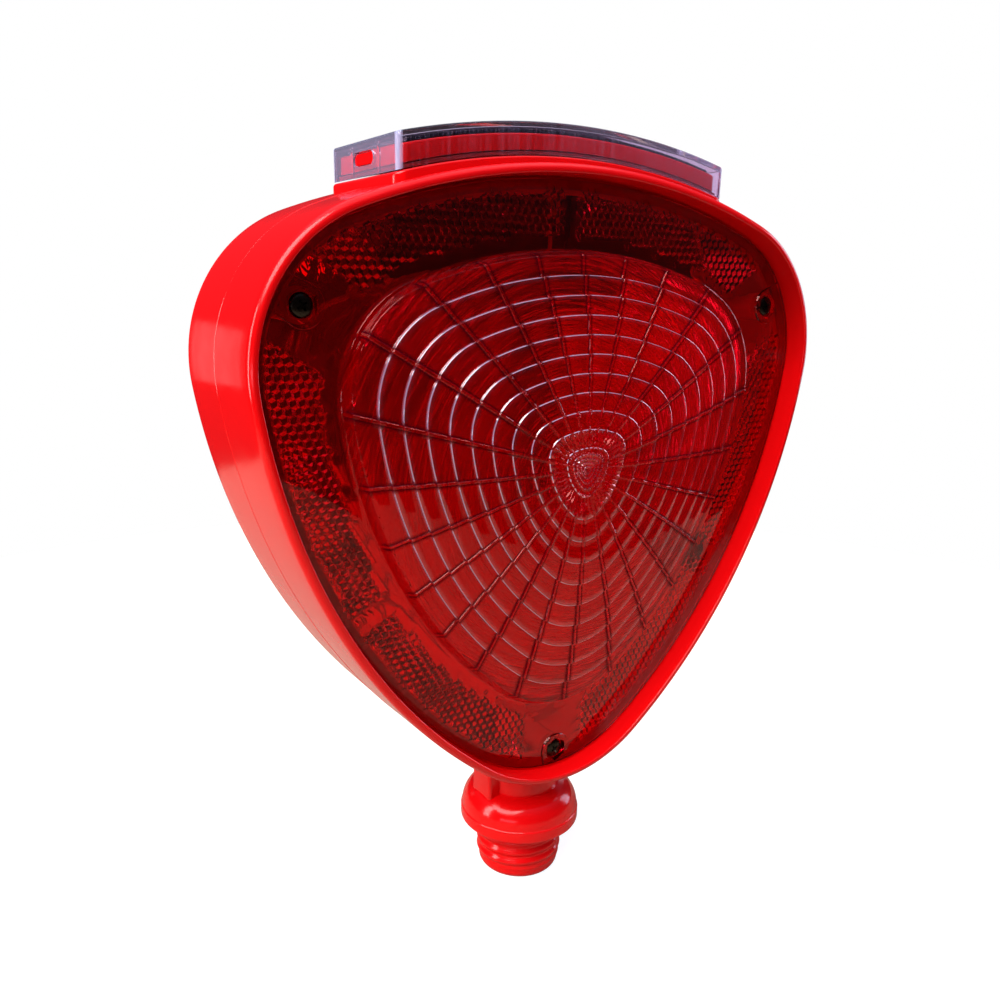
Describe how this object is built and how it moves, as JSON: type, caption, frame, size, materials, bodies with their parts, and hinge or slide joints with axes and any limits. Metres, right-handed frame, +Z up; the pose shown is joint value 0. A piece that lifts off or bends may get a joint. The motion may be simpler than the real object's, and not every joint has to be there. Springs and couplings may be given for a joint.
{
  "type": "solar warning lamp",
  "caption": "Double-lens solar warning lamp: rounded-triangle red housing with ribbed dome lenses, a clear-covered solar panel on top and a threaded stem below for a cone or barricade.",
  "frame": {"origin": "centre of the flange's underside, where the lamp seats when its stem is screwed in", "axes": "+X across the lamp, to the right seen from the front; -Y out of the front lens; +Z up, along the stem"},
  "size_m": [0.189, 0.0572, 0.2318],
  "materials": {
    "red": "glossy moulded red polycarbonate, faint orange-peel",
    "red_lens": "clear red moulded polycarbonate, polished",
    "clear": "clear moulded polycarbonate, polished",
    "rubber": "matte black elastomer",
    "seal_red": "red silicone rubber",
    "steel": "plated steel",
    "solar_cell": "dark laminated solar cells",
    "board_green": "green solder mask",
    "led_red": "tinted epoxy",
    "black_plastic": "moulded black plastic",
    "cell_sleeve": "plain heat-shrink sleeve",
    "ceramic": "pale ceramic",
    "wire_red": "insulated stranded wire",
    "wire_black": "insulated stranded wire"
  },
  "bodies": {
    "lamp": {"housing": "red", "solar_tray": "red", "front_lens": "red_lens", "rear_lens": "red_lens", "solar_cover": "clear", "switch_washer": "rubber", "front_gasket": "seal_red", "rear_gasket": "seal_red", "tray_seal": "seal_red", "front_lens_screw_left": "steel", "front_lens_screw_right": "steel", "front_lens_screw_low": "steel", "rear_lens_screw_left": "steel", "rear_lens_screw_right": "steel", "rear_lens_screw_low": "steel", "tray_screw_left": "steel", "tray_screw_right": "steel", "board_screw_left": "steel", "board_screw_right": "steel", "contact_left": "steel", "contact_right": "steel", "solar_panel": "solar_cell", "circuit_board": "board_green", "front_led_upper": "led_red", "front_led_middle": "led_red", "front_led_lower": "led_red", "rear_led_upper": "led_red", "rear_led_middle": "led_red", "rear_led_lower": "led_red", "battery_holder": "black_plastic", "controller_chip": "black_plastic", "capacitor": "black_plastic", "switch_bezel": "black_plastic", "switch_body": "black_plastic", "battery_cell_left": "cell_sleeve", "battery_cell_right": "cell_sleeve", "photocell": "ceramic", "panel_lead_positive": "wire_red", "battery_lead_positive": "wire_red", "switch_lead_b": "wire_red", "panel_lead_negative": "wire_black", "battery_lead_negative": "wire_black", "switch_lead_a": "wire_black"},
    "button": {"switch_button": "red"}
  },
  "joints": [
    {"name": "switch_press", "type": "slide", "parent": "lamp", "child": "button", "axis": [-0.866, 0, 0.5], "range_m": [0, 0.002], "stiffness_N_per_m": 300, "springref_m": -0.003}
  ]
}
